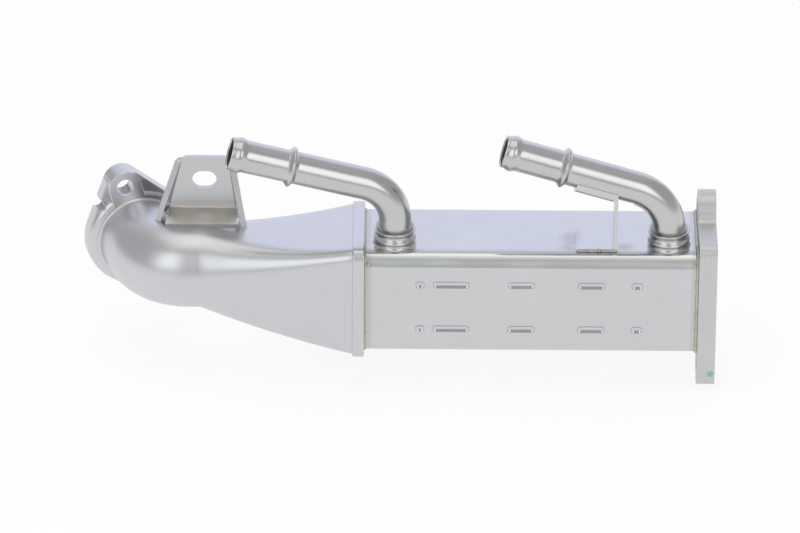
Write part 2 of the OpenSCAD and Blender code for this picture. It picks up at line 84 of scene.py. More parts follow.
back = Vector((0, -math.cos(ELEVATION), math.sin(ELEVATION)))
level = Vector((1, 0, 0))
upright = back.cross(level)
right = level * math.cos(ROLL) + upright * math.sin(ROLL)
up = upright * math.cos(ROLL) - level * math.sin(ROLL)
eye = at(MIDDLE_X, 0, 0) + up * AIM_ABOVE * MM + back * DISTANCE
turn = Matrix((right, up, back)).transposed()
bpy.ops.object.camera_add(location=eye, rotation=turn.to_euler())
camera = bpy.context.object
camera.data.lens = LENS
camera.data.sensor_width = SENSOR
scene.camera = camera
scene.view_settings.view_transform = "Standard"
print("camera at", [round(v, 3) for v in eye])

# %% [markdown]
# ## Shader arithmetic
# A finish is a small formula over the surface. The class below wraps a socket, so a formula can be written
# as a Python expression and turns into Math nodes. Any other node comes from its one `node` method.


# %% A socket that can be calculated with
class Wire:
    """An output socket: arithmetic adds Math nodes, and node() adds any other node to the same tree."""

    def __init__(self, tree, socket=None):
        self.tree = tree
        self.socket = socket

    def node(self, kind, settings=None, inputs=None, out=0):
        made = self.tree.nodes.new(kind)
        for key, value in (settings or {}).items():
            if key == "stops":
                ends = made.color_ramp.elements
                for element, (place, color) in zip(ends, (value[0], value[-1])):
                    element.position = place
                    element.color = (*color, 1)
                for place, color in value[1:-1]:
                    ends.new(place).color = (*color, 1)
            else:
                setattr(made, key, value)
        for key, value in (inputs or {}).items():
            if isinstance(value, Wire):
                self.tree.links.new(value.socket, made.inputs[key])
            else:
                made.inputs[key].default_value = value
        return Wire(self.tree, made.outputs[out])

    def math(self, operation, *values):
        return self.node("ShaderNodeMath", {"operation": operation}, dict(enumerate(values)))

    def __add__(self, other):
        return self.math("ADD", self, other)

    def __sub__(self, other):
        return self.math("SUBTRACT", self, other)

    def __rsub__(self, other):
        return self.math("SUBTRACT", other, self)

    def __mul__(self, other):
        return self.math("MULTIPLY", self, other)

    __radd__ = __add__
    __rmul__ = __mul__

    def step(self, low, high):
        """0 below low and 1 above high, with a soft slope between them."""
        return self.node("ShaderNodeMapRange", {"interpolation_type": "SMOOTHSTEP"},
                         {"Value": self, "From Min": low, "From Max": high})

    def blend(self, a, b):
        """Colour a where this wire is 0 and colour b where it is 1."""
        return self.node("ShaderNodeMix", {"data_type": "RGBA"}, {0: self, 6: a, 7: b}, 2)

    def feed(self, node, socket):
        self.tree.links.new(self.socket, node.inputs[socket])


def rgb(r, g, b):
    return (r, g, b, 1.0)


# %% [markdown]
# ## Studio
# Steel shows what stands around it, so the studio is drawn for its reflections: a white table, a pale bluish
# wall behind, a dim room on the camera's side with soft boxes to the left and right of the camera, and a
# strip of light overhead. The strip and the boxes give the bright bands along the pipes and rounded edges.

# %% Light of the room
DIM_ROOM = (0.455, 0.455, 0.45)
HIGH_ROOM = (0.56, 0.56, 0.58)
BACK_WALL = (0.99, 1.02, 1.19)
# Stops on the arch from the camera's side, 0, over the top, 0.5, to the wall behind, 1
ROOM_ARCH = ((0.0, DIM_ROOM), (0.32, DIM_ROOM), (0.5, HIGH_ROOM),
             (0.68, HIGH_ROOM), (0.80, BACK_WALL), (1.0, BACK_WALL))
SIDE_ROOM = rgb(0.52, 0.52, 0.54)
# How far a ray leans to either side where the side walls begin and where they are full
SIDE_FROM, SIDE_FULL = 0.40, 0.72
TO_HALF_TURNS, TO_DEGREES = 1 / math.pi, 180 / math.pi

world = bpy.data.worlds.new("studio")
scene.world = world
world.use_nodes = True
sky = Wire(world.node_tree)
ray = sky.node("ShaderNodeTexCoord", out="Generated")
ray_x, ray_y, ray_z = (sky.node("ShaderNodeSeparateXYZ", inputs={0: ray}, out=axis) for axis in "XYZ")
arch_angle = sky.math("ARCTAN2", ray_z, ray_y * -1.0) * TO_HALF_TURNS
room = sky.node("ShaderNodeValToRGB", {"stops": ROOM_ARCH}, {0: arch_angle})
room = sky.math("ABSOLUTE", ray_x).step(SIDE_FROM, SIDE_FULL).blend(room, SIDE_ROOM)
print("stops of the room:", len(ROOM_ARCH))

# %% Strip and soft boxes
STRIP_LIGHT = rgb(1.45, 1.41, 1.32)
STRIP_END = rgb(1.16, 1.13, 1.07)
# Low end, high end and softness of the strip, across the room and on the arch
STRIP_ACROSS = (-0.34, 0.22, 0.06)
STRIP_ARCH = (0.395, 0.65, 0.03)
# Where the strip's dimmer end passes into its full light
STRIP_GROWS = (-0.10, -0.02)
RIGHT_BOX = rgb(1.66, 1.72, 1.72)
LEFT_BOX = rgb(1.52, 1.58, 1.58)
# Each box: azimuth from the camera's direction and elevation in degrees, low and high, then the softness
# of its upper and lower ends and its light
SOFT_BOXES = ((12, 46, 10, 50, 4, RIGHT_BOX), (-48, -13, 9, 53, 8, LEFT_BOX))
BOX_SIDE_SOFT = 3
WHITE = rgb(1.0, 1.0, 1.0)


def between(value, low, high, soft):
    """1 where a wire lies between low and high, with soft ends."""
    return value.step(low - soft, low + soft) * (1 - value.step(high - soft, high + soft))


strip = between(ray_x, *STRIP_ACROSS) * between(arch_angle, *STRIP_ARCH)
room = strip.blend(room, ray_x.step(*STRIP_GROWS).blend(STRIP_END, STRIP_LIGHT))
azimuth = sky.math("ARCTAN2", ray_x, ray_y * -1.0) * TO_DEGREES
elevation = sky.math("ARCSINE", ray_z) * TO_DEGREES
for left, right_end, low, high, soft, light in SOFT_BOXES:
    box = between(azimuth, left, right_end, BOX_SIDE_SOFT) * between(elevation, low, high, soft)
    room = box.blend(room, light)
seen = sky.node("ShaderNodeLightPath", out="Is Camera Ray")
seen.blend(room, WHITE).feed(world.node_tree.nodes["Background"], "Color")
print("soft boxes:", len(SOFT_BOXES))

# %% [markdown]
# ## Floor and lamps
# The cooler lies on white paper, which shines by itself for the camera and in reflections. So it is white
# without more light on the steel. Two large lamps cast the soft shadow, and they are hidden from
# reflections, because steel would show them as squares.

# %% Floor
FLOOR_SIZE = 20.0
PAPER, PAPER_ROUGHNESS = rgb(0.9, 0.9, 0.9), 0.9
PAPER_GLOW = 0.88
floor_z = cad_box[0][2]
bpy.ops.mesh.primitive_plane_add(size=FLOOR_SIZE, location=(MIDDLE_X * MM, 0, floor_z))
floor = bpy.context.object
floor.name = "floor"
paper = bpy.data.materials.new("white_paper")
paper.use_nodes = True
paper_shader = paper.node_tree.nodes["Principled BSDF"]
paper_shader.inputs["Base Color"].default_value = PAPER
paper_shader.inputs["Roughness"].default_value = PAPER_ROUGHNESS
sheet = Wire(paper.node_tree)
glow = sheet.node("ShaderNodeEmission", inputs={"Color": WHITE, "Strength": 1.0})
path_camera = sheet.node("ShaderNodeLightPath", out="Is Camera Ray")
path_glossy = sheet.node("ShaderNodeLightPath", out="Is Glossy Ray")
direct = sheet.math("MAXIMUM", path_camera, path_glossy) * PAPER_GLOW
lit = Wire(paper.node_tree, paper_shader.outputs[0])
mixed = direct.node("ShaderNodeMixShader", inputs={0: direct, 1: lit, 2: glow})
mixed.feed(paper.node_tree.nodes["Material Output"], "Surface")
floor.data.materials.append(paper)
print("floor at", round(floor_z / MM, 2), "mm")

# %% Lamps
# Name, place and size in metres, and power in watts
LAMPS = (("ceiling_box", (-0.25, -0.05, 1.3), 1.1, 5.0), ("left_fill", (-1.3, -0.9, 0.7), 0.8, 2.0))
lit_point = Vector((MIDDLE_X * MM, 0, 0))
for name, place, size, power in LAMPS:
    bpy.ops.object.light_add(type="AREA", location=place)
    lamp = bpy.context.object
    lamp.name = name
    lamp.data.size = size
    lamp.data.energy = power
    lamp.visible_glossy = False
    lamp.rotation_euler = (lit_point - Vector(place)).to_track_quat("-Z", "Y").to_euler()
bpy.ops.object.select_all(action="DESELECT")

# %% [markdown]
# ## Finishes
# All of the cooler is stainless steel, but each piece was worked differently. A finish is a metal whose
# colour, roughness and bump come from noise in the right direction and at the right scale.

# %% Helpers for finishes
MICRON = 1e-6


def start(name):
    """A new metal material: the material, its shader and the place on the piece."""
    material = bpy.data.materials.new(name)
    material.use_nodes = True
    shader = material.node_tree.nodes["Principled BSDF"]
    shader.inputs["Metallic"].default_value = 1.0
    place = Wire(material.node_tree).node("ShaderNodeTexCoord", out="Object")
    print("finish:", name)
    return material, shader, place


def noise(place, per_metre, detail=3.0, stretch=(1, 1, 1), rough=0.55):
    """Noise with so many cells a metre; a stretch below 1 draws the cells out along that axis."""
    scaled = place.node("ShaderNodeMapping", inputs={"Vector": place, "Scale": stretch})
    return place.node("ShaderNodeTexNoise",
                      inputs={"Vector": scaled, "Scale": per_metre, "Detail": detail, "Roughness": rough})


def bump(shader, relief, microns):
    """Relief of a wire from 0 to 1, so many thousandths of a millimetre deep."""
    raised = relief.node("ShaderNodeBump",
                         inputs={"Height": relief, "Strength": 1.0, "Distance": microns * MICRON})
    raised.feed(shader, "Normal")


def near(place, point, core, fade):
    """1 around a point, falling to 0 between two distances from it in millimetres."""
    gap = place.node("ShaderNodeVectorMath", {"operation": "DISTANCE"}, {0: place, 1: point}, "Value")
    return 1 - gap.step(core * MM, fade * MM)


def spots(place, points, core):
    """1 around any of some points, each given with the distance in millimetres at which it has faded."""
    shade = None
    for point, fade in points:
        spot = near(place, point, core, fade)
        shade = spot if shade is None else shade.math("MAXIMUM", shade, spot)
    return shade


# %% [markdown]
# ### Rolled sheet
# Rolling leaves a fine grain along the casing and wiping leaves faint clouds. The end welds tint the sheet
# beside them, and the lid is darker in a few spots beside the strip's foot. A press scuffs the folds, so they
# are rougher.

# %% Rolled sheet
FLANGE_BACK, COLLAR_FACE = -9.0, -175.0
# Distances from the end welds up to which the heat tint is full and at which it is gone
HEAT_FULL, HEAT_GONE = 2.0, 4.5
# Dark spots on the lid beside the strip's foot, each with the distance at which it has faded
LID_DARK_SPOTS = ((at(-72.5, -6, 27), 8), (at(-72.0, -11, 27), 7), (at(-73.5, -17, 27), 7), (at(-45.5, -16, 27), 7))
LID_DARK_SPOT_CORE = 0.5
SHEET_ROUGHNESS, FOLD_ROUGHNESS = 0.11, 0.27


def sheet_finish(name, roughness):
    """Rolled steel sheet that is nowhere smoother than the given roughness."""
    material, shader, place = start(name)
    clouds = noise(place, 45, 4)
    grain = noise(place, 1400, 2, (0.05, 1, 1))
    wipes = noise(place, 160, 3, (0.3, 1, 1))
    tone = clouds * 0.6 + grain * 0.4
    along = place.node("ShaderNodeSeparateXYZ", inputs={0: place}, out="X")
    welded = along.step((FLANGE_BACK - HEAT_GONE) * MM, (FLANGE_BACK - HEAT_FULL) * MM)
    welded = welded + (1 - along.step((COLLAR_FACE + HEAT_FULL) * MM, (COLLAR_FACE + HEAT_GONE) * MM))
    lid_darkening = spots(place, LID_DARK_SPOTS, LID_DARK_SPOT_CORE)
    metal = tone.blend(rgb(0.55, 0.56, 0.575), rgb(0.64, 0.65, 0.665))
    metal = (welded * (0.4 + clouds * 0.6)).blend(metal, rgb(0.50, 0.49, 0.45))
    # The lid's colour is darkened in spots beside the strip's foot
    (lid_darkening * (wipes + clouds) * 0.6).blend(metal, rgb(0.38, 0.35, 0.34)).feed(shader, "Base Color")
    (roughness + clouds * 0.10 + wipes.step(0.45, 0.7) * 0.05).feed(shader, "Roughness")
    bump(shader, grain, 0.8)
    return material


sheet_steel = sheet_finish("rolled_sheet", SHEET_ROUGHNESS)
fold_steel = sheet_finish("folded_sheet", FOLD_ROUGHNESS)

# %% [markdown]
# ### Blasted casting
# A casting is blasted clean with fine shot, which leaves an even, slightly satin skin. Very small noise in
# all directions gives that, with large soft clouds under it.

# %% Blasted casting
casting_steel, shader, place = start("blasted_casting")
clouds = noise(place, 40, 4)
blast = noise(place, 2600, 2)
tone = clouds * 0.7 + blast * 0.3
tone.blend(rgb(0.575, 0.58, 0.60), rgb(0.672, 0.677, 0.695)).feed(shader, "Base Color")
(0.25 + clouds * 0.14).feed(shader, "Roughness")
bump(shader, blast, 12)

# %% [markdown]
# ### Brushed flange
# The flange is cut from plate and its sides are brushed upright, so its noise is drawn out along Z. A dot of
# paint sits on the lower ear. It isn't metal, and its edge is made ragged by noise.

# %% Brushed flange
PAINT_DOT = at(-2.3, -30.2, -36.6)
DOT_CORE, DOT_FADE = 0.2, 3.2

flange_steel, shader, place = start("brushed_flange")
clouds = noise(place, 60, 4)
brush = noise(place, 1500, 3, (1, 1, 0.06))
ragged = noise(place, 700, 3)
dot = (near(place, PAINT_DOT, DOT_CORE, DOT_FADE) - ragged).step(-0.1, 0.1) * 0.85
tone = clouds * 0.4 + brush * 0.6
metal = tone.blend(rgb(0.515, 0.52, 0.52), rgb(0.69, 0.695, 0.69))
dot.blend(metal, rgb(0.16, 0.50, 0.45)).feed(shader, "Base Color")
(0.36 + brush * 0.16 + dot * 0.2).feed(shader, "Roughness")
(1 - dot).feed(shader, "Metallic")
bump(shader, brush, 40)

# %% [markdown]
# ### Drawn pipe and its bore
# A tube is drawn through a die, which polishes its outside and leaves faint streaks along it. Nothing
# polishes its inside, which stays rough, and its colour is painted near black as shade inside the bore.

# %% Drawn pipe and its bore
pipe_steel, shader, place = start("drawn_pipe")
clouds = noise(place, 70, 3)
streaks = noise(place, 1100, 2, (0.04, 1, 0.12))
tone = clouds * 0.5 + streaks * 0.5
tone.blend(rgb(0.52, 0.52, 0.515), rgb(0.62, 0.62, 0.615)).feed(shader, "Base Color")
(0.17 + streaks * 0.08 + clouds * 0.08).feed(shader, "Roughness")
bump(shader, streaks, 3)

bore_shade_steel, shader, place = start("bore_painted_shade")
patches = noise(place, 240, 3)
# Painted shade: the bore's colour is near black, for the shade inside the tube
patches.blend(rgb(0.12, 0.12, 0.125), rgb(0.24, 0.24, 0.245)).feed(shader, "Base Color")
(0.45 + patches * 0.2).feed(shader, "Roughness")
bump(shader, patches, 10)

# %% [markdown]
# ### Pressed bracket
# The bracket is pressed from thick sheet and welded on, and the heat leaves a warm tint near the welds. The
# tint fades with the distance from two points, and clouds break up its edge.

# %% Pressed bracket with heat tint
# Each point with the distance at which its tint has faded
TINT_POINTS = ((at(-263, 6, 32), 14), (at(-248, 6, 32), 14))
TINT_CORE = 2

bracket_steel, shader, place = start("pressed_bracket")
clouds = noise(place, 70, 4)
grain = noise(place, 1300, 2, (0.08, 1, 1))
heat = (spots(place, TINT_POINTS, TINT_CORE) * (0.45 + clouds)).step(0.1, 0.9)
tone = clouds * 0.6 + grain * 0.4
metal = tone.blend(rgb(0.51, 0.52, 0.53), rgb(0.61, 0.62, 0.63))
heat.blend(metal, rgb(0.60, 0.565, 0.525)).feed(shader, "Base Color")
(0.24 + clouds * 0.12).feed(shader, "Roughness")
bump(shader, grain, 20)

# %% [markdown]
# ### Weld and core
# A weld cools in patches of grey and straw, so a colour ramp runs over coarse noise. The core is hidden,
# except through the openings, and gets a plain steel, dulled by soot.

# %% Weld and core
WELD_TINTS = ((0.25, (0.42, 0.41, 0.40)), (0.45, (0.52, 0.50, 0.45)),
              (0.6, (0.58, 0.55, 0.48)), (0.75, (0.50, 0.49, 0.48)))

weld_steel, shader, place = start("weld_bead")
patches = noise(place, 320, 3)
fine = noise(place, 1800, 2)
place.node("ShaderNodeValToRGB", {"stops": WELD_TINTS}, {0: patches}).feed(shader, "Base Color")
(0.30 + fine * 0.2).feed(shader, "Roughness")
bump(shader, fine, 60)

core_steel, shader, place = start("core_steel")
clouds = noise(place, 90, 4)
soot = noise(place, 420, 3)
tone = clouds * 0.6 + soot * 0.4
tone.blend(rgb(0.40, 0.40, 0.41), rgb(0.56, 0.56, 0.57)).feed(shader, "Base Color")
(0.32 + soot * 0.2).feed(shader, "Roughness")
bump(shader, soot, 20)

# %% [markdown]
# ## Dressing a solid
# Some pieces have the right shape already, but a real edge is never knife sharp. A copy of the solid has its
# loose triangles merged and its flats cleaned, a bevel breaks each sharp edge, and weighted normals keep the
# flats looking flat next to the new rounds.

# %% Helpers for pieces
# Distances in metres below which points are one: in new pieces, and in copies of solids
SAME, SAME_IN_SOLID = 1e-6, 2e-6
# Faces that turn less than the first are one flat, and edges that turn more than the second are sharp
FLAT_TURN, EDGE_TURN = math.radians(0.5), math.radians(30)
# Edges that turn less, in degrees, are shaded smooth
SMOOTH_BELOW = 40


def choose(*pieces):
    """Selects only these pieces and makes the first of them active."""
    bpy.ops.object.select_all(action="DESELECT")
    for piece in pieces:
        piece.select_set(True)
    bpy.context.view_layer.objects.active = pieces[0]


def enter():
    bpy.ops.object.mode_set(mode="EDIT")


def leave():
    bpy.ops.object.mode_set(mode="OBJECT")


def edit(piece):
    """Opens one piece in edit mode with everything in it selected."""
    choose(piece)
    enter()
    bpy.ops.mesh.select_all(action="SELECT")


def flip(piece):
    edit(piece)
    bpy.ops.mesh.flip_normals()
    leave()


def selected(piece):
    return [vertex for vertex in piece.data.vertices if vertex.select]


def pick(piece, kind, wanted):
    """Selects the vertices or edges of a piece that is open in edit mode, by a test on each."""
    bpy.ops.mesh.select_all(action="DESELECT")
    bpy.ops.mesh.select_mode(type=kind)
    leave()
    for part in {"VERT": piece.data.vertices, "EDGE": piece.data.edges}[kind]:
        part.select = wanted(part)
    enter()


def copy_of(node, name):
    """A merged copy of a solid, with its flat faces made whole."""
    piece = nodes[node].copy()
    piece.data = nodes[node].data.copy()
    piece.name = name
    piece.parent = None
    for key in list(piece.keys()):
        del piece[key]
    scene.collection.objects.link(piece)
    piece.hide_render = piece.hide_viewport = False
    piece.hide_set(False)
    edit(piece)
    bpy.ops.mesh.remove_doubles(threshold=SAME_IN_SOLID)
    bpy.ops.mesh.dissolve_limited(angle_limit=FLAT_TURN)
    leave()
    return piece


def apply(piece, kind, **settings):
    """Adds one modifier to a piece and applies it."""
    bpy.context.view_layer.objects.active = piece
    modifier = piece.modifiers.new(kind.lower(), kind)
    for key, value in settings.items():
        setattr(modifier, key, value)
    bpy.ops.object.modifier_apply(modifier=modifier.name)


def smooth(piece, below=SMOOTH_BELOW):
    choose(piece)
    bpy.ops.object.shade_smooth_by_angle(angle=math.radians(below))


def keep_flats(piece):
    """Lets the large faces decide the shading, so flats stay flat beside small rounds."""
    apply(piece, "WEIGHTED_NORMAL", keep_sharp=True, weight=100)


def bevel(piece, width, segments=3):
    apply(piece, "BEVEL", width=width * MM, segments=segments, limit_method="ANGLE",
          angle_limit=EDGE_TURN, use_clamp_overlap=True)


def break_edges(piece, width, segments=3):
    bevel(piece, width, segments)
    smooth(piece)
    keep_flats(piece)


def wear(piece, material):
    """Gives a piece its finish and fixes it to the cooler."""
    piece.data.materials.clear()
    piece.data.materials.append(material)
    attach(piece, "root")
    print(piece.name, len(piece.data.polygons), "faces")


# %% [markdown]
# ## Casing, end flange and strip
# The casing is folded sheet with pressed dashes. Smooth shading joins the small facets of its rounds and
# keeps the dashes' edges. The end flange is thick plate and the strip is thin sheet: both get broken edges,
# wide ones on the plate and narrow ones on the sheet.

# %% Casing
FACETS_BELOW = 14
casing = copy_of("casing", "casing_shell")
smooth(casing, FACETS_BELOW)
keep_flats(casing)
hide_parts("casing")
wear(casing, sheet_steel)

# %% Flat pieces with broken edges
PLATE_BREAK, SHEET_BREAK = 1.1, 0.35
for node, name, width, material, slot in (
    ("end_flange", "end_plate", PLATE_BREAK, flange_steel, "flange"),
    ("pipe_support", "support_strip", SHEET_BREAK, sheet_steel, "sheet"),
):
    piece = copy_of(node, name)
    break_edges(piece, width)
    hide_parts(node)
    wear(piece, material)

# %% [markdown]
# ## Rings
# Pipes and ducts are all made in one way: a ring of points is extruded step by step, and after each step
# the new ring is moved to its place. A spin carries the ring round a bend.


# %% Helpers for rings
def unit_circle(count):
    """Pairs of numbers on a circle of radius 1, evenly spaced."""
    return [(math.cos(2 * math.pi * k / count), math.sin(2 * math.pi * k / count)) for k in range(count)]


def ring_start(name, points):
    """A new piece that is one ring of points, left open in edit mode with the ring selected."""
    bpy.ops.object.select_all(action="DESELECT")
    bpy.ops.mesh.primitive_circle_add(vertices=len(points))
    piece = bpy.context.object
    piece.name = name
    enter()
    bpy.ops.mesh.select_mode(type="VERT")
    bpy.ops.mesh.select_all(action="SELECT")
    move_ring(piece, points)
    return piece


def move_ring(piece, points):
    """Moves the selected ring of a piece that is open in edit mode to new points."""
    leave()
    for vertex, point in zip(selected(piece), points):
        vertex.co = point
    enter()


def ring_now(piece):
    """The points of the selected ring and their middle."""
    leave()
    points = [vertex.co.copy() for vertex in selected(piece)]
    enter()
    return points, sum(points, Vector()) / len(points)


def extrude():
    """Extrudes the selected edges without moving them."""
    bpy.ops.mesh.extrude_edges_move(TRANSFORM_OT_translate={"value": (0, 0, 0)})


def next_ring(piece, points):
    extrude()
    move_ring(piece, points)


def loft(name, rings):
    """A new piece through a row of rings, left open in edit mode."""
    piece = ring_start(name, rings[0])
    for ring in rings[1:]:
        next_ring(piece, ring)
    return piece


def face_out():
    """Turns all faces of the piece that is open in edit mode outwards and leaves edit mode."""
    bpy.ops.mesh.select_all(action="SELECT")
    bpy.ops.mesh.normals_make_consistent(inside=False)
    leave()


def close_skin(piece, heart):
    """Merges a finished skin, makes its nearest face look away from a point inside and leaves edit mode."""
    bpy.ops.mesh.select_all(action="SELECT")
    bpy.ops.mesh.remove_doubles(threshold=SAME)
    face_out()
    nearest = min(piece.data.polygons, key=lambda face: (face.center - heart).length)
    if nearest.normal.dot(nearest.center - heart) < 0:
        flip(piece)


# %% [markdown]
# ## Pipes and ferrules
# The coolant pipes are drawn tube, bent once, with a stop bead for the hose and a swollen mouth. Each is a
# ring that rises from the casing, is spun round the bend and runs on to the mouth, where it is widened
# for the beads. A wall is added inwards, and its inside wears the bore's finish, with painted shade in its
# colour. A ferrule is a flared collar that holds the pipe in the casing: its profile is a row of rings.

# %% Sizes of the pipes
PIPE_POINTS = 72
PIPE_R, PIPE_WALL = 8.1, 1.0
PIPE_FORWARD = 12.5
CASING_HALF, CASING_WALL = 27.2, 1.5
BEND_STEPS = 28
ROUND_BELOW = 50
# Each bead: distance of its crest from the mouth, its rise and half its width
BEADS = ((31.5, 2.05, 2.7), (4.8, 0.9, 3.6))
BEAD_STEPS, RUN_STEPS = 8, 12
# The last piece of the mouth is drawn in
MOUTH_LENGTH, MOUTH_IN = 0.35, 0.3
# Place along the casing, lift, swing towards the front, riser, radius and angle of the bend, straight length
Pipe = namedtuple("Pipe", "x lift swing riser bend_r bend run")
PIPES = {
    "left": Pipe(-160.0, 1.2, math.radians(4), 11.4, 21.5, math.radians(74.5), 68.9),
    "right": Pipe(-24.0, 0.0, 0.0, 8.97, 23.5, math.radians(73.4), 68.67),
}


def bead_rise(from_mouth):
    """How far smooth beads raise the pipe's skin at a distance from its mouth."""
    rises = 0.0
    for crest, rise, half in BEADS:
        rises += rise * math.cos(math.pi / 2 * min(abs(from_mouth - crest) / half, 1.0)) ** 2
    return rises


def run_stations(run):
    """Places along a pipe's run, close together where a bead is."""
    places = [run - MOUTH_LENGTH, run]
    for crest, _, half in BEADS:
        places += [run - crest + half * k / BEAD_STEPS for k in range(-BEAD_STEPS, BEAD_STEPS + 1)]
    places += [run * k / RUN_STEPS for k in range(1, RUN_STEPS)]
    return sorted(places)


# %% Pipes
for side, spec in PIPES.items():
    facing = Matrix.Rotation(spec.swing, 3, "Z")
    foot = at(spec.x, -PIPE_FORWARD, CASING_HALF + spec.lift)
    circle = [facing @ Vector((c, s, 0)) * PIPE_R * MM for c, s in unit_circle(PIPE_POINTS)]
    pipe = ring_start(side + "_pipe", [foot + p - Vector((0, 0, CASING_WALL * MM)) for p in circle])
    riser = foot + Vector((0, 0, spec.riser * MM))
    next_ring(pipe, [riser + p for p in circle])
    hub = riser + facing @ Vector((-spec.bend_r * MM, 0, 0))
    bpy.ops.mesh.spin(steps=BEND_STEPS, angle=spec.bend, center=hub, axis=facing @ Vector((0, 1, 0)))
    last, run_start = ring_now(pipe)
    along = facing @ Vector((-math.sin(spec.bend), 0, math.cos(spec.bend)))
    for place in run_stations(spec.run):
        rise = bead_rise(spec.run - place) - (MOUTH_IN if place == spec.run else 0.0)
        wide = 1 + rise / PIPE_R
        next_ring(pipe, [run_start + (p - run_start) * wide + along * place * MM for p in last])
    close_skin(pipe, (foot + riser) / 2)
    pipe.data.materials.append(pipe_steel)
    pipe.data.materials.append(bore_shade_steel)
    apply(pipe, "SOLIDIFY", thickness=PIPE_WALL * MM, offset=-1.0, material_offset=1)
    smooth(pipe, ROUND_BELOW)
    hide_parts("coolant_pipe_" + side)
    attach(pipe, "root")
    mouth = run_start + along * spec.run * MM
    print(side, "pipe", len(pipe.data.polygons), "faces, mouth at", [round(v / MM, 2) for v in mouth])

# %% Ferrules
# Radius and height of the profile's points, from the foot up the outside and down the inside
FERRULE = (
    (9.5, -1.5), (9.7, -0.05), (11.0, 0.0), (10.4, 0.35), (10.05, 0.9), (9.75, 1.8),
    (9.9, 2.3), (10.3, 2.7), (10.5, 3.1), (10.55, 3.4), (10.5, 3.7), (10.3, 4.1), (9.85, 4.5),
    (9.4, 5.1), (9.3, 5.7), (9.45, 6.4), (9.85, 7.1), (10.3, 7.7), (10.55, 8.2), (10.6, 8.5), (10.45, 8.7),
    (10.1, 8.75), (9.6, 8.55), (9.1, 8.15), (8.7, 7.75), (8.4, 7.45), (8.2, 7.4), (8.2, -1.5), (9.5, -1.5),
)
# A point inside the ferrule's wall
FERRULE_HEART = Vector((8.9, 0, 3.0)) * MM
for side, spec in PIPES.items():
    foot = at(spec.x, -PIPE_FORWARD, CASING_HALF)
    rings = [[foot + Vector((c * radius, s * radius, height)) * MM for c, s in unit_circle(PIPE_POINTS)]
             for radius, height in FERRULE]
    ferrule = loft(side + "_ferrule", rings)
    close_skin(ferrule, foot + FERRULE_HEART)
    smooth(ferrule, ROUND_BELOW)
    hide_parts("pipe_ferrule_" + side)
    wear(ferrule, pipe_steel)

# %% [markdown]
# ## Cast diffuser
# One casting leads the gas from the square casing into a round tube and turns it to the port. Its solid has
# flat facets, which a casting never shows, so the skin is made again: a ring is extruded from section to
# section, then spun round the bend and extruded to the port. Every ring has the same number of points,
# packed closer at the corners, so the square can flow into the circle.

# %% Sections of the skin
RING = 96
CORNER_PACK = 0.7
CONE_START, CONE_END = -181.0, -257.0
ELBOW_START, ELBOW_R = -262.5, 21.8
ELBOW_TURN = math.radians(72)
DUCT_R, DUCT_RISE, DUCT_WALL = 21.2, 7.3, 3.6
STUB = 15.5
PORT_T, PORT_RISE = 9.0, 1.0
# Share of the cone, half side, corner radius and rise of three sections
CONE_SECTIONS = ((0.0, 29.2, 5.4, 0.0), (0.52, 23.65, 10.5, 1.8), (1.0, DUCT_R, DUCT_R, DUCT_RISE))


def through(share, which):
    """A value of the cone's sections at any share of its length, on a parabola through all three."""
    total = 0.0
    for i, one in enumerate(CONE_SECTIONS):
        term = one[which]
        for j, other in enumerate(CONE_SECTIONS):
            if i != j:
                term *= (share - other[0]) / (one[0] - other[0])
        total += term
    return total


def ring_direction(index):
    turn_share = 2 * math.pi * index / RING
    angle = turn_share + CORNER_PACK * math.sin(4 * turn_share) / 4
    return math.cos(angle), math.sin(angle)


def reach(half, corner, y, z):
    """How far a round-cornered square reaches in the direction (y, z)."""
    y, z = max(abs(y), abs(z)), min(abs(y), abs(z))
    flat = half - corner
    if half / y * z <= flat:
        return half / y
    mid = flat * (y + z)
    return mid + math.sqrt(max(mid * mid - (2 * flat * flat - corner * corner), 0.0))


def cone_ring(x, share):
    """Points of the skin's ring at one place along the cone, whose front and back taper in straight lines."""
    half, corner, rise = (through(share, which) for which in (1, 2, 3))
    corner = min(corner, half)
    wide = (CONE_SECTIONS[0][1] + (DUCT_R - CONE_SECTIONS[0][1]) * share) / half
    points = []
    for index in range(RING):
        y, z = ring_direction(index)
        far = reach(half, corner, y, z)
        points.append(at(x, far * y * wide, far * z + rise))
    return points


# %% Skin of the casting
CONE_STEPS = 24
COLLAR_LAP = 1.0
# A ring close behind the cone's end keeps the edge between cone and tube clear
DUCT_LEAD = 0.6

skin = ring_start("diffuser_skin", cone_ring(CONE_START + COLLAR_LAP, 0.0))
for step in range(CONE_STEPS + 1):
    share = step / CONE_STEPS
    next_ring(skin, cone_ring(CONE_START + (CONE_END - CONE_START) * share, share))
next_ring(skin, cone_ring(CONE_END - DUCT_LEAD, 1.0))
next_ring(skin, cone_ring(ELBOW_START, 1.0))
elbow_hub = at(ELBOW_START, ELBOW_R, DUCT_RISE)
bpy.ops.mesh.spin(steps=BEND_STEPS, angle=ELBOW_TURN, center=elbow_hub, axis=(0, 0, 1))
last, elbow_end = ring_now(skin)
print("elbow ends at", [round(v / MM, 2) for v in elbow_end])

# %% Stub with a fillet against the port flange
PORT_FILLET = 1.4
FILLET_TURNS = (22.5, 45.0, 67.5, 90.0)
port_out = Vector((-math.cos(ELBOW_TURN), math.sin(ELBOW_TURN), 0))
stub_end = STUB - PORT_RISE
stub_rings = [(stub_end - PORT_FILLET, 0.0)]
for a in map(math.radians, FILLET_TURNS):
    stub_rings.append((stub_end - PORT_FILLET * (1 - math.sin(a)), PORT_FILLET * (1 - math.cos(a))))
for along, out in stub_rings:
    wide = 1 + out / DUCT_R
    next_ring(skin, [elbow_end + (p - elbow_end) * wide + port_out * along * MM for p in last])
close_skin(skin, at(ELBOW_START, 0, DUCT_RISE))
print("skin", len(skin.data.polygons), "faces")

# %% Wall of the casting
apply(skin, "SOLIDIFY", thickness=DUCT_WALL * MM, offset=-1.0)
smooth(skin)
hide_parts("diffuser_elbow")
wear(skin, casting_steel)

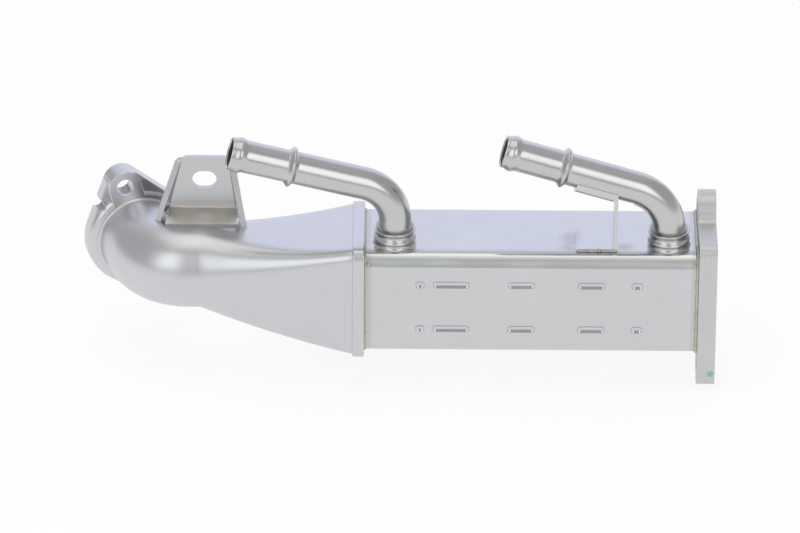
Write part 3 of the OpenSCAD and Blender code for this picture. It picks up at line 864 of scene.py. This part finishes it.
# %% [markdown]
# ## Collar
# The casting ends in a square collar round the casing. It is one more ring profile, but its rings are
# round-cornered squares: across the end, over a rounded edge, along the outside and back on the inside.

# %% Collar
COLLAR_HALF, COLLAR_CORNER, COLLAR_EDGE = 30.4, 6.0, 0.8
COLLAR_MOUTH, MOUTH_CORNER = 27.3, 5.1
EDGE_STEPS = (0, 1, 2, 3)

collar_profile = [(COLLAR_FACE, COLLAR_MOUTH, MOUTH_CORNER)]
for face_x, inward, order in ((COLLAR_FACE, -1, EDGE_STEPS), (CONE_START, 1, EDGE_STEPS[::-1])):
    for step in order:
        a = math.pi / 2 * step / EDGE_STEPS[-1]
        x = face_x + inward * COLLAR_EDGE * (1 - math.cos(a))
        less = COLLAR_EDGE * (1 - math.sin(a))
        collar_profile.append((x, COLLAR_HALF - less, COLLAR_CORNER - less))
collar_profile += [(CONE_START, COLLAR_MOUTH, MOUTH_CORNER), collar_profile[0]]


def square_ring(x, half, corner):
    """Points of a round-cornered square about the casing's axis."""
    directions = [ring_direction(index) for index in range(RING)]
    return [at(x, reach(half, corner, y, z) * y, reach(half, corner, y, z) * z) for y, z in directions]


collar = loft("collar", [square_ring(*section) for section in collar_profile])
close_skin(collar, at((COLLAR_FACE + CONE_START) / 2, 0, (COLLAR_HALF + COLLAR_MOUTH) / 2))
smooth(collar)
keep_flats(collar)
wear(collar, casting_steel)

# %% [markdown]
# ## Port flange
# The port flange is a round body with a big soft edge, two bolt bosses and webs beside them. The body is a
# ring profile like a ferrule. Webs and bosses are flat outlines, extruded inwards from the mating face, with
# broken edges. Then the bolt holes and a notch are punched out, and all of them are joined to one piece.

# %% Sizes and places on the port flange
PORT_R, PORT_BORE, PORT_EDGE, PORT_BREAK = 26.75, 17.6, 4.35, 0.5
PORT_EDGE_STEPS = 8
BOLT_R, BOLT_TURN = 30.2, math.radians(15)
EAR_R, LOWER_EAR_R, EAR_DRAFT, EAR_ROOT = 9.3, 8.7, 0.8, 19.0
EAR_STEPS = 20
WEB_SIDE = math.radians(54.7)
# The web's inner end: its distance from the boss's middle, and turns of its points on the root's circle
WEB_ROOT, WEB_ROOT_TURNS = 6.0, (0.8, 0.55)
# Half turn of each boss about the port, its radius and the heights of the webs on its two sides
BOSSES = ((0.0, EAR_R, 7.2, 8.8), (math.pi, LOWER_EAR_R, 5.0, 5.0))
WEB_SETBACK, BOSS_SETBACK = 0.15, 0.1
HOLE_R, HOLE_POINTS = 4.5, 40
NOTCH_R, NOTCH_TURN = 3.0, math.radians(46)
PUNCH_PAST = 1.0
port_t = PORT_T + PORT_RISE
port_centre = elbow_end + port_out * (STUB + PORT_T) * MM
port_left = Vector((-math.sin(ELBOW_TURN), -math.cos(ELBOW_TURN), 0))


# %% Outlines on the port flange
def on_port(x, y, depth):
    """A point of the port flange in millimetres: left, up and inwards from the middle of its mating face."""
    return port_centre + (port_left * x - port_out * depth) * MM + Vector((0, 0, y * MM))


def turned(points, turn):
    """Flat points turned about the port's axis, upper ones to the left."""
    c, s = math.cos(turn), math.sin(turn)
    return [(x * c + y * s, y * c - x * s) for x, y in points]


def disc(x, y, radius, count):
    return [(x + radius * c, y + radius * s) for c, s in unit_circle(count)]


def boss(radius):
    arc = [math.pi * k / EAR_STEPS for k in range(EAR_STEPS + 1)]
    arc = [(radius * math.cos(a), BOLT_R + radius * math.sin(a)) for a in arc]
    return arc + [(-radius, EAR_ROOT), (radius, EAR_ROOT)]


def web(ear_r, hand):
    """Outline of the web on one side of a boss: from the boss to the common tangent of ear and rim."""
    s, c = math.sin(WEB_SIDE), math.cos(WEB_SIDE)
    points = [(WEB_ROOT, BOLT_R + WEB_ROOT), (ear_r * s, BOLT_R + ear_r * c), (PORT_R * s, PORT_R * c)]
    points += [(EAR_ROOT * math.sin(a), EAR_ROOT * math.cos(a)) for a in WEB_ROOT_TURNS]
    return [(x * hand, y) for x, y in points + [(WEB_ROOT, EAR_ROOT)]]


def prism(name, first, first_depth, last, last_depth):
    """A closed piece between two flat outlines at two depths."""
    piece = ring_start(name, [on_port(x, y, first_depth) for x, y in first])
    bpy.ops.mesh.edge_face_add()
    next_ring(piece, [on_port(x, y, last_depth) for x, y in last])
    bpy.ops.mesh.edge_face_add()
    face_out()
    return piece


def cut(piece, cutter):
    """Takes one piece away from another and removes it."""
    apply(piece, "BOOLEAN", object=cutter, operation="DIFFERENCE", solver="EXACT")
    bpy.data.objects.remove(cutter)


def punch(piece, outline):
    """Cuts an outline out of a piece, right through the port flange."""
    cut(piece, prism("punch", outline, -PUNCH_PAST, outline, port_t + PUNCH_PAST))


# %% Body of the port flange
body = [(PORT_BORE, 0.0), (PORT_R - PORT_BREAK, 0.0), (PORT_R, PORT_BREAK)]
for step in range(PORT_EDGE_STEPS + 1):
    a = math.pi / 2 * step / PORT_EDGE_STEPS
    body.append((PORT_R - PORT_EDGE * (1 - math.cos(a)), port_t - PORT_EDGE * (1 - math.sin(a))))
body += [(PORT_BORE, port_t), (PORT_BORE, 0.0)]
port = loft("port_flange", [[on_port(x, y, depth) for x, y in disc(0, 0, radius, RING)]
                            for radius, depth in body])
close_skin(port, on_port((PORT_BORE + PORT_R) / 2, 0, port_t / 2))
notch = turned(disc(0, PORT_R + NOTCH_R / 2, NOTCH_R, HOLE_POINTS), NOTCH_TURN)
punch(port, notch)
print("port body", len(port.data.polygons), "faces")

# %% Bosses and webs of the port flange
port_pieces = [port]
for half_turn, ear_r, left_web, right_web in BOSSES:
    turn_by = BOLT_TURN + half_turn
    for hand, height in ((1, left_web), (-1, right_web)):
        side = turned(web(ear_r, hand), turn_by)
        flat = prism("web", side, WEB_SETBACK, side, height)
        bevel(flat, PORT_BREAK)
        punch(flat, notch)
        port_pieces.append(flat)
    foot, front = turned(boss(ear_r), turn_by), turned(boss(ear_r - EAR_DRAFT), turn_by)
    block = prism("boss", foot, BOSS_SETBACK, front, port_t)
    bevel(block, PORT_BREAK)
    hole = turned(disc(0, BOLT_R, HOLE_R, HOLE_POINTS), turn_by)
    punch(block, hole)
    punch(port, hole)
    port_pieces.append(block)
choose(*port_pieces)
bpy.ops.object.join()
smooth(port)
keep_flats(port)
wear(port, casting_steel)

# %% [markdown]
# ## Mounting bracket
# The bracket is folded from one thick sheet: an upright plate with a slot, a shelf that slopes down onto the
# duct and two splayed wings. It is made as a sheet is folded: the plate is one face, its edges are extruded
# into the shelf and the wings, the folds are rounded, and only then does it get its thickness.

# %% Sizes of the bracket
BRACKET_X, BRACKET_T = -255.2, 3.0
PLATE_Y = 12.0
FOLD_Z, TIP_Z, TOP_Z = 34.0, 58.6, 61.0
# Where the left and right wing's fold crosses those heights
FOLD_X, TIP_X, TOP_X = (-17.6, 15.6), (-11.6, 12.2), (-8.2, 9.5)
# The plate's upper corners: how far in and down they bow, and the shares at which their points lie
BOW_IN, BOW_DOWN, BOW_SHARES = 0.94, 0.5, (0.6, 0.4)
RELIEF = 0.3
SHELF_DEPTH, SHELF_DROP, SHELF_SPREAD = 12.0, 4.0, 1.12
WING_SPLAY = (math.radians(26), math.radians(12))
WING_DEPTH, WING_TIP = 5.8, 0.6
WING_FOOT_Z, WING_FOOT_DEPTH, WING_FOOT_OUT = 25.4, 7.4, (1.8, 1.3)


def on_bracket(x, z):
    return at(BRACKET_X + x, PLATE_Y, z)


def fold_out(piece, moves):
    """Extrudes the edge between two points and takes each of its ends to a new place."""
    def moved(point):
        return next((new for old, new in moves if (point - old).length < SAME), None)

    pick(piece, "EDGE", lambda edge: all(moved(piece.data.vertices[v].co) is not None for v in edge.vertices))
    extrude()
    leave()
    for vertex in selected(piece):
        vertex.co = moved(vertex.co)
    enter()


# %% Plate, shelf and wings
shelf_x = (FOLD_X[0] + RELIEF, FOLD_X[1] - RELIEF)
outline = [(x, FOLD_Z) for x in (FOLD_X[0], *shelf_x, FOLD_X[1])]
for hand in (1, 0):
    tip, top = Vector((TIP_X[hand], TIP_Z)), Vector((TOP_X[hand], TOP_Z))
    bow = Vector((tip.x * BOW_IN, TOP_Z - BOW_DOWN))
    corner = [tip, tip.lerp(bow, BOW_SHARES[0]), bow.lerp(top, BOW_SHARES[1]), top]
    outline += [tuple(point) for point in (corner if hand else reversed(corner))]
bracket = ring_start("bracket_sheet", [on_bracket(x, z) for x, z in outline])
bpy.ops.mesh.edge_face_add()
slope = Vector((0, -SHELF_DEPTH, -SHELF_DROP)) * MM
fold_out(bracket, [(on_bracket(x, FOLD_Z), on_bracket(x * SHELF_SPREAD, FOLD_Z) + slope) for x in shelf_x])
for hand, out in ((0, -1), (1, 1)):
    low, tip = on_bracket(FOLD_X[hand], FOLD_Z), on_bracket(TIP_X[hand], TIP_Z)
    forward = Vector((out * math.sin(WING_SPLAY[hand]), -math.cos(WING_SPLAY[hand]), 0)) * MM
    wing = low + forward * WING_DEPTH
    fold_out(bracket, [(low, wing), (tip, tip + forward * WING_TIP)])
    drop = Vector((out * WING_FOOT_OUT[hand], 0, WING_FOOT_Z - FOLD_Z)) * MM
    fold_out(bracket, [(low, low + drop), (wing, low + drop + forward * WING_FOOT_DEPTH)])
print("bracket sheet", len(bracket.data.polygons), "faces")

# %% Rounded folds and thickness
FOLD_ROUND, FOLD_SEGMENTS = 1.2, 5


def is_fold(edge):
    """Whether two faces of the bracket meet at an edge with a clear turn."""
    faces = [f for f in bracket.data.polygons if all(v in f.vertices for v in edge.vertices)]
    return len(faces) == 2 and faces[0].normal.angle(faces[1].normal) > EDGE_TURN


face_out()
edit(bracket)
pick(bracket, "EDGE", is_fold)
print("folds:", sum(edge.select for edge in bracket.data.edges))
bpy.ops.mesh.bevel(offset=FOLD_ROUND * MM, segments=FOLD_SEGMENTS, affect="EDGES")
leave()
plate_face = max(bracket.data.polygons, key=lambda face: face.area)
if plate_face.normal.y > 0:
    flip(bracket)
apply(bracket, "SOLIDIFY", thickness=BRACKET_T * MM, offset=-1.0, use_even_offset=True)

# %% Slot of the bracket
SLOT_L, SLOT_W, SLOT_Z, SLOT_POINTS = 12.2, 9.5, 48.7, 48
# The cutter starts in front of the plate and reaches through it
CUT_BEFORE, CUT_LENGTH = 5, 13
slot_half = (SLOT_L - SLOT_W) / 2
slot_points = []
for c, s in unit_circle(SLOT_POINTS):
    x = c * SLOT_W / 2 + math.copysign(slot_half, c)
    slot_points.append(on_bracket(x, SLOT_Z + s * SLOT_W / 2) - Vector((0, CUT_BEFORE * MM, 0)))
slot_cutter = ring_start("slot_punch", slot_points)
bpy.ops.mesh.edge_face_add()
bpy.ops.mesh.extrude_region_move(TRANSFORM_OT_translate={"value": (0, CUT_LENGTH * MM, 0)})
face_out()
cut(bracket, slot_cutter)
break_edges(bracket, SHEET_BREAK)
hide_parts("mounting_bracket")
wear(bracket, bracket_steel)

# %% [markdown]
# ## Folded lips of the casing
# The casing is closed by a lid whose long edges are folded down over the sides. The fold is a rounded strip
# that stands a little proud of the side and ends in a step. It is the edge of a plane, extruded round the
# fold point by point.

# %% Lips
LIP_START, LIP_END = -174.6, -9.3
LIP_R, LIP_T, LIP_STEPS = 8.05, 0.9, 14
LIP_Y, LIP_Z = -20.9, 19.35
LIP_SWEEP = math.radians(76)
# Points on the lid before the fold: how far behind its centre and how far below its crest
LIP_ROOT = ((3.0, 0.6), (0.8, 0.02))
LIP_BREAK, LIP_BREAK_SEGMENTS = 0.12, 2
# Name, side and how far the lip is sunk
LIPS = (("front_lip", 1, 0.0), ("back_lip", -1, 0.25))

lip_profile = [(LIP_Y + behind, LIP_Z + LIP_R - below) for behind, below in LIP_ROOT]
for step in range(LIP_STEPS + 1):
    a = LIP_SWEEP * step / LIP_STEPS
    lip_profile.append((LIP_Y - LIP_R * math.sin(a), LIP_Z + LIP_R * math.cos(a)))
for name, mirror, sunk in LIPS:
    bpy.ops.object.select_all(action="DESELECT")
    bpy.ops.mesh.primitive_plane_add(size=1)
    lip = bpy.context.object
    lip.name = name
    edit(lip)
    bpy.ops.mesh.delete(type="ONLY_FACE")
    pick(lip, "VERT", lambda vertex: vertex.co.y > 0)
    bpy.ops.mesh.delete(type="VERT")
    bpy.ops.mesh.select_all(action="SELECT")
    rows = [[at(x, y * mirror, z - sunk) for x in (LIP_START, LIP_END)] for y, z in lip_profile]
    move_ring(lip, rows[0])
    for row in rows[1:]:
        next_ring(lip, row)
    close_skin(lip, at((LIP_START + LIP_END) / 2, 0, 0))
    apply(lip, "SOLIDIFY", thickness=LIP_T * MM, offset=-1.0)
    break_edges(lip, LIP_BREAK, LIP_BREAK_SEGMENTS)
    wear(lip, fold_steel)

# %% [markdown]
# ## Welds
# The casing is welded to its flange and collar, the lips are welded at their ends, the strip that holds the
# right pipe is welded at its foot and on the pipe, and the bracket along its shelf. A weld is a row of
# overlapping drops, so it is a path whose thickness swells and shrinks from drop to drop, turned into a mesh.

# %% Helpers for welds
DROP_STATIONS, DROP_SWELL = 5, 0.16
# Height, pace and start of two slow waves that make a weld uneven
UNEVEN = ((0.084, 0.37, 0), (0.056, 0.83, 1))
# Thickness of an open weld's end and its growth from station to station
END_SIZE, END_GROWTH = 0.35, 0.2
WELD_BELOW = 60


def weld_stations(path, pitch, closed):
    """Points along a path, so many to each drop."""
    stations = []
    for k in range(len(path) if closed else len(path) - 1):
        a, b = path[k], path[(k + 1) % len(path)]
        pieces = max(1, round((b - a).length / (pitch * MM / DROP_STATIONS)))
        stations += [a.lerp(b, j / pieces) for j in range(pieces)]
    return stations if closed else stations + [path[-1]]


def weld_size(k, count, closed):
    """Relative thickness of a weld at one of its stations."""
    size = 1 - DROP_SWELL + DROP_SWELL * abs(math.sin(math.pi * k / DROP_STATIONS))
    size += sum(height * math.sin(k * pace + begin) for height, pace, begin in UNEVEN)
    return size if closed else size * min(1.0, END_SIZE + END_GROWTH * min(k, count - 1 - k))


def bead(name, path, radius, pitch, closed=False):
    """A weld along a path of points: as thick as radius, with a drop at every pitch, both in millimetres."""
    stations = weld_stations(path, pitch, closed)
    bpy.ops.object.select_all(action="DESELECT")
    bpy.ops.curve.primitive_nurbs_path_add(location=(0, 0, 0))
    weld = bpy.context.object
    weld.name = name
    weld.data.splines.clear()
    line = weld.data.splines.new("POLY")
    line.points.add(len(stations) - 1)
    line.use_cyclic_u = closed
    for k, (point, station) in enumerate(zip(line.points, stations)):
        point.co = (*station, 1)
        point.radius = weld_size(k, len(stations), closed)
    weld.data.bevel_depth = radius * MM
    weld.data.bevel_resolution = 2
    weld.data.use_fill_caps = not closed
    bpy.ops.object.convert(target="MESH")
    weld = bpy.context.object
    edit(weld)
    bpy.ops.mesh.remove_doubles(threshold=SAME)
    face_out()
    smooth(weld, WELD_BELOW)
    wear(weld, weld_steel)


# %% Welds at the casing's ends
CASING_R, CORNER_STEPS = 5.0, 6
# Name, place along the casing, radius and pitch of the drops
END_WELDS = (("flange_weld", FLANGE_BACK - 0.5, 1.15, 2.6), ("collar_weld", COLLAR_FACE + 0.3, 0.7, 2.0))


def around_casing(x):
    """A closed path round the casing's section."""
    flat = CASING_HALF - CASING_R
    path = []
    for corner, (y, z) in enumerate(((flat, flat), (-flat, flat), (-flat, -flat), (flat, -flat))):
        for step in range(CORNER_STEPS + 1):
            a = math.pi / 2 * (corner + step / CORNER_STEPS)
            path.append(at(x, y + CASING_R * math.cos(a), z + CASING_R * math.sin(a)))
    return path


for name, x, radius, pitch in END_WELDS:
    bead(name, around_casing(x), radius, pitch, closed=True)

# %% Welds of the lips and of the strip's foot
LIP_WELDS = (("lip_weld_left", COLLAR_FACE + 1.7), ("lip_weld_right", FLANGE_BACK - 2.3))
# Points down the end of a lip: along the casing from the weld's place, across and up
LIP_WELD_PATH = ((0.0, -27.9, 24.4), (0.4, -28.1, 22.6), (0.0, -27.7, 20.6))
LIP_BEAD = (0.75, 1.4)
# Name, both ends, radius and pitch of the drops
FOOT_WELDS = (
    ("foot_weld_left", at(-69.7, -21.9, 27.9), at(-59.2, -21.9, 27.9), 0.62, 1.6),
    ("foot_weld_right", at(-58.0, -21.9, 27.9), at(-50.0, -21.9, 27.9), 0.62, 1.6),
    ("foot_weld_tack", at(-59.6, -22.0, 28.0), at(-57.6, -22.0, 28.2), 1.15, 2.5),
)
for name, x in LIP_WELDS:
    bead(name, [at(x + shift, y, z) for shift, y, z in LIP_WELD_PATH], *LIP_BEAD)
for name, first_end, last_end, radius, pitch in FOOT_WELDS:
    bead(name, [first_end, last_end], radius, pitch)

# %% Welds of the strip's top and of the bracket's shelf
# Degrees round the right pipe's bend, and the weld's place inwards and forward in shares of the pipe's radius
STRIP_WELD_TURNS = range(70, 34, -4)
STRIP_WELD_IN, STRIP_WELD_FRONT = 0.82, 0.57
STRIP_BEAD = (0.6, 1.7)
SHELF_WELDS = (("shelf_weld_left", FOLD_X[0] - 0.3), ("shelf_weld_right", FOLD_X[1] + 0.3))
SHELF_WELD_DEPTHS = (0.8, 3.0, 5.2, 7.4)
SHELF_WELD_SPREAD, SHELF_WELD_SUNK = 0.008, 0.4
SHELF_BEAD = (1.0, 1.8)

held = PIPES["right"]
inner = held.bend_r - PIPE_R * STRIP_WELD_IN
strip_path = []
for a in map(math.radians, STRIP_WELD_TURNS):
    x = held.x - held.bend_r + inner * math.cos(a)
    z = CASING_HALF + held.riser + inner * math.sin(a)
    strip_path.append(at(x, -PIPE_FORWARD - PIPE_R * STRIP_WELD_FRONT, z))
bead("strip_weld", strip_path, *STRIP_BEAD)
for name, fold_x in SHELF_WELDS:
    shelf_path = []
    for depth in SHELF_WELD_DEPTHS:
        x = fold_x * (1 + depth * SHELF_WELD_SPREAD)
        z = FOLD_Z - depth * SHELF_DROP / SHELF_DEPTH - SHELF_WELD_SUNK
        shelf_path.append(on_bracket(x, z) - Vector((0, depth, 0)) * MM)
    bead(name, shelf_path, *SHELF_BEAD)

# %% [markdown]
# ## Core
# Tube plates, gas tubes and corrugated inserts fill the casing. They are hardly seen through the openings,
# so they keep their solids and only get the core's finish.

# %% Core pieces keep their solids
for solid in nodes.values():
    solid.data.materials.clear()
    solid.data.materials.append(core_steel)
print("solids with the core's finish:", len(nodes))
